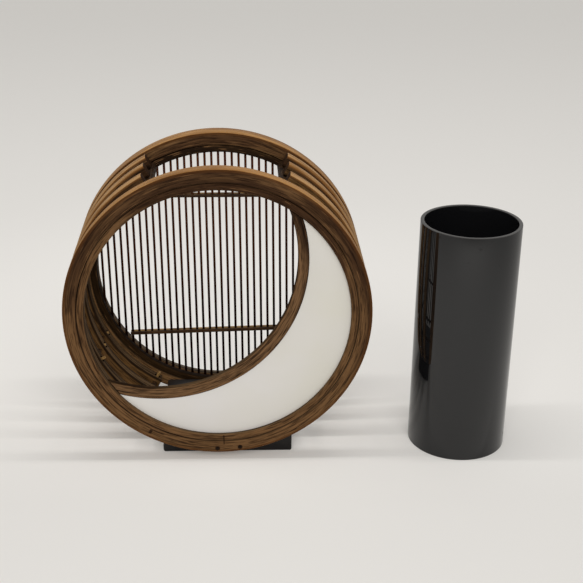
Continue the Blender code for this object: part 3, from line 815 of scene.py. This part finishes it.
class VASE_OT_pegs(Operator):
    """Drive in the pale pegs of the hoops and the dark pegs of the rings"""
    bl_idname = "vase.pegs"
    bl_label = "Pegs"

    def execute(self, context):
        own = sizes()
        pale = pale_peg()
        dark = straight_bamboo("ring_peg_bamboo", tone(12, 8, 6), tone(34, 24, 18), 0.05)
        stands = {("lower", 3): own.lower_peg_stands, ("side", 1): own.side_peg_stands}
        for side in SIDES:
            for level, turned in dowel_angles(side).items():
                for number in HOOPS:
                    middle = hoop_middle(side, number)
                    shape = bmesh.new()
                    stand = stands.get((level, number), own.short_peg_stands)
                    rod_between(shape, on_ring(hoop_bore() - stand, turned, middle),
                                on_ring(hoop_bore() + own.peg_bore_depth, turned, middle),
                                own.peg_radius, 16)
                    round_edges(shape, SMALL_EDGE, 2, 60.0)
                    node = f"{side}_{level}_peg_{number}"
                    add_piece(node + "_tip", shape, [pale], [node])
        for ring in ("front", "back"):
            for number in (1, 2):
                node = f"{ring}_ring_peg_{number}"
                low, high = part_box(node)
                centre = (low + high) / 2
                shape = bmesh.new()
                rod_between(shape, Vector((centre.x, low.y, centre.z)),
                            Vector((centre.x, high.y, centre.z)), own.ring_peg_radius, 20)
                round_edges(shape, FINE_EDGE, 2, 60.0)
                add_piece(node + "_pin", shape, [dark], [node])
        return {"FINISHED"}


class VASE_OT_block(Operator):
    """Set the lacquered block between the rings"""
    bl_idname = "vase.block"
    bl_label = "Base Block"

    def execute(self, context):
        shape = bmesh.new()
        block_between(shape, BLOCK_LOW, BLOCK_HIGH)
        round_edges(shape, sizes().block_round, 5)
        add_piece("lacquered_block", shape, [black_lacquer()], ["base_block"])
        return {"FINISHED"}


# Crescent

PANEL_TIPS = (51.5, 220.5)
WINDOW_TIPS = (58.7, 211.9)
PANEL_GAP = 0.00005
ARC_STEPS = 96
# A face of the strip with less of its normal to the front takes the shaded finish, a dark copy
# with painted shade
FRONT_SLOPE = 0.92


def crescent_circle(width, tips):
    """Centre and radius of the circle through both tips that leaves this width below it."""
    bore = ring_bore() - PANEL_GAP
    middle = math.radians(sum(tips) / 2)
    spread = math.radians(tips[1] - tips[0]) / 2
    offset = width * (2 * bore - width) / (2 * (bore - width + bore * math.cos(spread)))
    return (offset * math.cos(middle), offset * math.sin(middle)), bore + offset - width


def arc_chain(shape, centre, start, end, depth):
    """A chain of edges round a centre, clockwise from one point on the bore to another."""
    turns = [math.atan2(point[1] - centre[1], point[0] - centre[0]) for point in (start, end)]
    first = shape.verts.new((start[0], depth, AXIS_HEIGHT + start[1]))
    bmesh.ops.spin(shape, geom=[first], cent=(centre[0], depth, AXIS_HEIGHT + centre[1]),
                   axis=(0, 1, 0), angle=(turns[0] - turns[1]) % math.tau, steps=ARC_STEPS)


def sheet_between(arcs, depth, thickness):
    """A flat sheet between two arcs that run clockwise from tip to tip."""
    shape = bmesh.new()
    for centre, start, end in arcs:
        arc_chain(shape, centre, start, end, depth)
    bmesh.ops.bridge_loops(shape, edges=shape.edges[:])
    bmesh.ops.remove_doubles(shape, verts=shape.verts[:], dist=MERGE_DISTANCE)
    made = bmesh.ops.extrude_face_region(shape, geom=shape.faces[:])
    moved = [item for item in made["geom"] if isinstance(item, bmesh.types.BMVert)]
    bmesh.ops.translate(shape, verts=moved, vec=(0, thickness, 0))
    bmesh.ops.recalc_face_normals(shape, faces=shape.faces[:])
    return shape


def on_bore(degrees):
    bore = ring_bore() - PANEL_GAP
    turn = math.radians(degrees)
    return bore * math.cos(turn), bore * math.sin(turn)


class VASE_OT_crescent(Operator):
    """Fit the white panel and its bent strip into the front ring"""
    bl_idname = "vase.crescent"
    bl_label = "Crescent"

    def execute(self, context):
        own = sizes()
        panel_centre, panel_radius = crescent_circle(own.crescent_width, PANEL_TIPS)
        window_centre, _ = crescent_circle(own.crescent_width + own.crescent_strip, WINDOW_TIPS)
        edge = (panel_centre, *map(on_bore, PANEL_TIPS))
        window = (window_centre, *map(on_bore, WINDOW_TIPS))
        bore = ((0.0, 0.0), *map(on_bore, PANEL_TIPS))
        shape = sheet_between((edge, window), FRONT_FACE + own.strip_recess, own.strip_depth)
        round_edges(shape, CRESCENT_EDGE, 4, 60.0)
        shape.normal_update()
        for face in shape.faces:
            face.material_index = int(abs(face.normal.y) < FRONT_SLOPE)
        reach = (panel_radius - own.crescent_strip, panel_radius + 0.01)
        centre = (panel_centre[0], AXIS_HEIGHT + panel_centre[1])
        lit = bamboo_tones(face=colours().crescent_face, face_gold=colours().crescent_gold,
                           fibre=colours().hoop_fibre)
        # Painted shade: the strip's sides and rounded edges take dark copies of the split sides,
        # with a darker line along the panel's edge
        deep = bamboo_tones(face=colours().painted_shade_face, face_gold=colours().painted_shade_gold)
        front = split_bamboo("crescent_bamboo", *reach, lit, centre)
        shaded = split_bamboo("crescent_inner_bamboo", *reach, deep, centre, seam=panel_radius)
        add_piece("crescent_strip_stick", shape, [front, shaded],
                  ["crescent_strip"])
        shape = sheet_between((edge, bore), FRONT_FACE + own.panel_recess, own.panel_thickness)
        round_edges(shape, FINE_EDGE, 2, 60.0)
        add_piece("crescent_sheet", shape, [white_panel()], ["crescent_panel"])
        return {"FINISHED"}


# Screen

def tilted(turned, up):
    """A turn in the plane of the screen about a point above the axis."""
    centre = Matrix.Translation((0, 0, AXIS_HEIGHT + up))
    return centre @ Matrix.Rotation(-turned, 4, "Y") @ centre.inverted()


def rod_places():
    """How far each rod stands to the right of the axis, before the screen leans."""
    own = sizes()
    reach = (BACK_HIGH.x - own.outer_strip) * FLAT_SHARE - SEAT_GAP - own.rod_clearance
    most = math.ceil(reach / own.rod_pitch)
    places = [own.rod_shift + step * own.rod_pitch for step in range(-most, most + 1)]
    return [across for across in places if abs(across) <= reach]


def crossbar(up, turned, front, back):
    own = sizes()
    reach = math.sqrt(ring_bore() ** 2 - up ** 2) - own.crossbar_clearance
    inner = rod_places()[own.side_rods:-own.side_rods]
    carried = [across for across in inner if abs(across) <= reach]
    level = AXIS_HEIGHT + up
    half = own.crossbar_height / 2
    shape = bmesh.new()
    block_between(shape, Vector((min(carried) - own.crossbar_past, front, level - half)),
                  Vector((max(carried) + own.crossbar_past, back, level + half)))
    round_edges(shape, SMALL_EDGE, 2)
    bmesh.ops.transform(shape, matrix=tilted(own.screen_lean, 0) @ tilted(turned, up),
                        verts=shape.verts[:])
    return shape


class VASE_OT_screen(Operator):
    """Stand the rods in the back ring and lay their crossbars"""
    bl_idname = "vase.screen"
    bl_label = "Rod Screen"

    def execute(self, context):
        own = sizes()
        plane = (SLOT_FRONT + SLOT_BACK) / 2
        reach = hoop_bore() * FLAT_SHARE - SEAT_GAP
        shape = bmesh.new()
        for across in rod_places():
            half = math.sqrt(reach ** 2 - (abs(across) + own.rod_radius) ** 2)
            rod_between(shape, Vector((across, plane, AXIS_HEIGHT - half)),
                        Vector((across, plane, AXIS_HEIGHT + half)), own.rod_radius, 12)
        bmesh.ops.transform(shape, matrix=tilted(own.screen_lean, 0), verts=shape.verts[:])
        nodes = [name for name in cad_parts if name.startswith("side_rod")]
        add_piece("screen_rods", shape, [screen_bamboo()], ["rod_screen", *nodes])
        # Painted light: the back crossbars take a lighter, golden copy of the bamboo of the front
        # ones
        golden_painted_light = straight_bamboo("back_crossbar_bamboo", tone(92, 64, 34), colours().crossbar)
        brown = straight_bamboo("front_crossbar_bamboo", tone(44, 28, 17), tone(80, 56, 34))
        front = plane - own.rod_radius + own.crossbar_notch - own.crossbar_depth
        rear = plane + own.rod_radius + SEAT_GAP / 2
        for level, up, turned in (("upper", own.upper_bar_up, own.upper_bar_tilt),
                                  ("lower", -own.lower_bar_down, own.lower_bar_tilt)):
            shape = crossbar(up, turned, front, front + own.crossbar_depth)
            add_piece(f"{level}_front_crossbar", shape, [brown], ["rod_screen"])
            shape = crossbar(up, turned, rear, rear + own.crossbar_depth)
            add_piece(f"{level}_back_crossbar", shape, [golden_painted_light],
                      [f"{level}_rear_crossbar"])
        return {"FINISHED"}


class VASE_OT_tube(Operator):
    """Turn the water tube and its bottom"""
    bl_idname = "vase.tube"
    bl_label = "Water Tube"

    def execute(self, context):
        own = sizes()
        finish = [black_acrylic()]
        outside = (TUBE_HIGH.x - TUBE_LOW.x) / 2
        inside = outside - own.tube_wall
        shape = bmesh.new()
        corners = [shape.verts.new((TUBE_CENTRE.x + radius, TUBE_CENTRE.y, up))
                   for radius, up in ((outside, TUBE_HIGH.z), (outside, 0.0), (inside, 0.0),
                                      (inside, TUBE_HIGH.z))]
        edges = [shape.edges.new(pair) for pair in zip(corners, corners[1:] + corners[:1])]
        bmesh.ops.spin(shape, geom=[*corners, *edges],
                       cent=(TUBE_CENTRE.x, TUBE_CENTRE.y, 0), axis=(0, 0, 1),
                       angle=math.radians(360.0), steps=own.tube_steps, use_merge=True)
        bmesh.ops.recalc_face_normals(shape, faces=shape.faces[:])
        round_edges(shape, own.tube_rim, 3)
        add_piece("acrylic_pipe", shape, finish, ["water_tube"], "water_tube")
        low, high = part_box("water_tube_bottom")
        shape = bmesh.new()
        rod_between(shape, Vector((TUBE_CENTRE.x, TUBE_CENTRE.y, low.z)),
                    Vector((TUBE_CENTRE.x, TUBE_CENTRE.y, high.z)), inside - 0.0001,
                    own.tube_steps)
        round_edges(shape, SMALL_EDGE, 2)
        add_piece("acrylic_bottom", shape, finish, ["water_tube_bottom"],
                  "water_tube")
        return {"FINISHED"}


# Stage: linear colours, and the camera's place, its pitch, heading and roll in degrees

FLOOR_RADIUS = 9.0
FLOOR_GLOW = (0.36, 0.349, 0.330)
WORLD_LIGHT = (0.40, 0.40, 0.40)
WORLD_SEEN = (0.77, 0.76, 0.74)
CAMERA_PLACE = (0.01406, -0.8922, 0.5088)
CAMERA_TURNS = (23.3246, 2.9052, 0.8333)
CAMERA_LENS = 73.14
CAMERA_SENSOR = 36.0


class VASE_OT_stage(Operator):
    """Lay the floor, hang the lamps and place the camera"""
    bl_idname = "vase.stage"
    bl_label = "Stage"

    def execute(self, context):
        floor_piece()
        lamps()
        surroundings()
        camera()
        context.scene.view_settings.view_transform = "Standard"
        return {"FINISHED"}


def floor_piece():
    shape = bmesh.new()
    bmesh.ops.create_circle(shape, cap_ends=True, segments=96, radius=FLOOR_RADIUS)
    material, shader, place = new_finish("studio_floor", Specular_IOR_Level=0.1, Roughness=0.9,
                                         Emission_Strength=1.0)
    across, depth = place.part("X"), place.part("Y")
    away = (depth + 0.12).greatest(0.0, abs(across) - 0.6, depth * -1.0 - 0.45)
    # Painted light: pools of glow behind the vase and beside the tube, seen by the camera alone
    behind = 1.0 - distance(across, depth - 0.22).between(0.0, 0.46)
    beside = 1.0 - distance(across - 0.24, depth).between(0.0, 0.25)
    glow = 1.0 - 0.82 * (away * -1.15).math("EXPONENT") + (0.27 * behind + 0.10 * beside)
    seen = place.node("ShaderNodeLightPath", output="Is Camera Ray")
    connect(shader,
            Base_Color=away.between(0.5, 2.32).mix(colours().floor, colours().backdrop),
            Emission_Color=(glow * seen).mix((0.0, 0.0, 0.0), FLOOR_GLOW))
    mesh_object("studio_floor", shape, [material])


def area_lamp(name, place, target, across, up, power):
    """A lamp that shows in no reflection."""
    data = bpy.data.lights.new(name, "AREA")
    data.shape = "RECTANGLE"
    data.size = across
    data.size_y = up
    data.energy = power
    lamp = add_object(name, data)
    lamp.location = place
    lamp.rotation_euler = (Vector(target) - Vector(place)).to_track_quat("-Z", "Y").to_euler()
    lamp.visible_glossy = False


def lamps():
    area_lamp("strip_lamp", (0.03, -0.055, 1.05), (0.03, -0.055, 0.0), 0.86, 0.035, 3.3)
    area_lamp("front_softbox", (0.1, -1.6, 1.2), (0.05, 0.0, 0.1), 1.4, 1.0, 15.0)


def surroundings():
    world = bpy.data.worlds.new("studio")
    world.use_nodes = True
    tree = world.node_tree
    camera_ray, *others = (Wire(tree).node("ShaderNodeLightPath", output=f"Is {kind} Ray")
                           for kind in ("Camera", "Glossy", "Transmission"))
    background = tree.nodes["Background"]
    tree.links.new(camera_ray.greatest(*others).mix(WORLD_LIGHT, WORLD_SEEN).socket,
                   background.inputs["Color"])
    background.inputs["Strength"].default_value = 1.0
    bpy.context.scene.world = world


def camera():
    pitch, heading, roll = (math.radians(turned) for turned in CAMERA_TURNS)
    forward = Vector((math.cos(pitch) * math.sin(heading), math.cos(pitch) * math.cos(heading),
                      -math.sin(pitch)))
    level = Vector((math.cos(heading), -math.sin(heading), 0))
    upright = level.cross(forward)
    right = math.cos(roll) * level + math.sin(roll) * upright
    top = -math.sin(roll) * level + math.cos(roll) * upright
    data = bpy.data.cameras.new("photo_camera")
    data.lens = CAMERA_LENS
    data.sensor_width = CAMERA_SENSOR
    data.clip_start = 0.05
    data.clip_end = 50.0
    seat = add_object("photo_camera", data)
    seat.matrix_world = Matrix.Translation(CAMERA_PLACE) @ Matrix(
        (right, top, -forward)).transposed().to_4x4()
    bpy.context.scene.camera = seat


OPERATORS = (VASE_OT_rings, VASE_OT_hoops, VASE_OT_top_bars, VASE_OT_dowels, VASE_OT_pegs,
             VASE_OT_block, VASE_OT_crescent, VASE_OT_screen, VASE_OT_tube, VASE_OT_stage)


class VIEW3D_PT_ring_vase(Panel):
    """Builds the vase piece by piece"""
    bl_label = "Ring Flower Vase"
    bl_space_type = "VIEW_3D"
    bl_region_type = "UI"
    bl_category = "Vase"

    def draw(self, context):
        layout = self.layout
        for operator in OPERATORS:
            layout.operator(operator.bl_idname)
        for group in (context.scene.vase_sizes, context.scene.vase_colours):
            box = layout.box()
            for name in group.__annotations__:
                box.prop(group, name)


CLASSES = (VaseSizes, VaseColours, *OPERATORS, VIEW3D_PT_ring_vase)


def register():
    for made in CLASSES:
        bpy.utils.register_class(made)
    bpy.types.Scene.vase_sizes = PointerProperty(type=VaseSizes)
    bpy.types.Scene.vase_colours = PointerProperty(type=VaseColours)


def unregister():
    del bpy.types.Scene.vase_colours
    del bpy.types.Scene.vase_sizes
    for made in reversed(CLASSES):
        bpy.utils.unregister_class(made)


def main():
    register()
    bpy.ops.vase.rings()
    bpy.ops.vase.hoops()
    bpy.ops.vase.top_bars()
    bpy.ops.vase.dowels()
    bpy.ops.vase.pegs()
    bpy.ops.vase.block()
    bpy.ops.vase.crescent()
    bpy.ops.vase.screen()
    bpy.ops.vase.tube()
    bpy.ops.vase.stage()


if __name__ == "__main__":
    main()
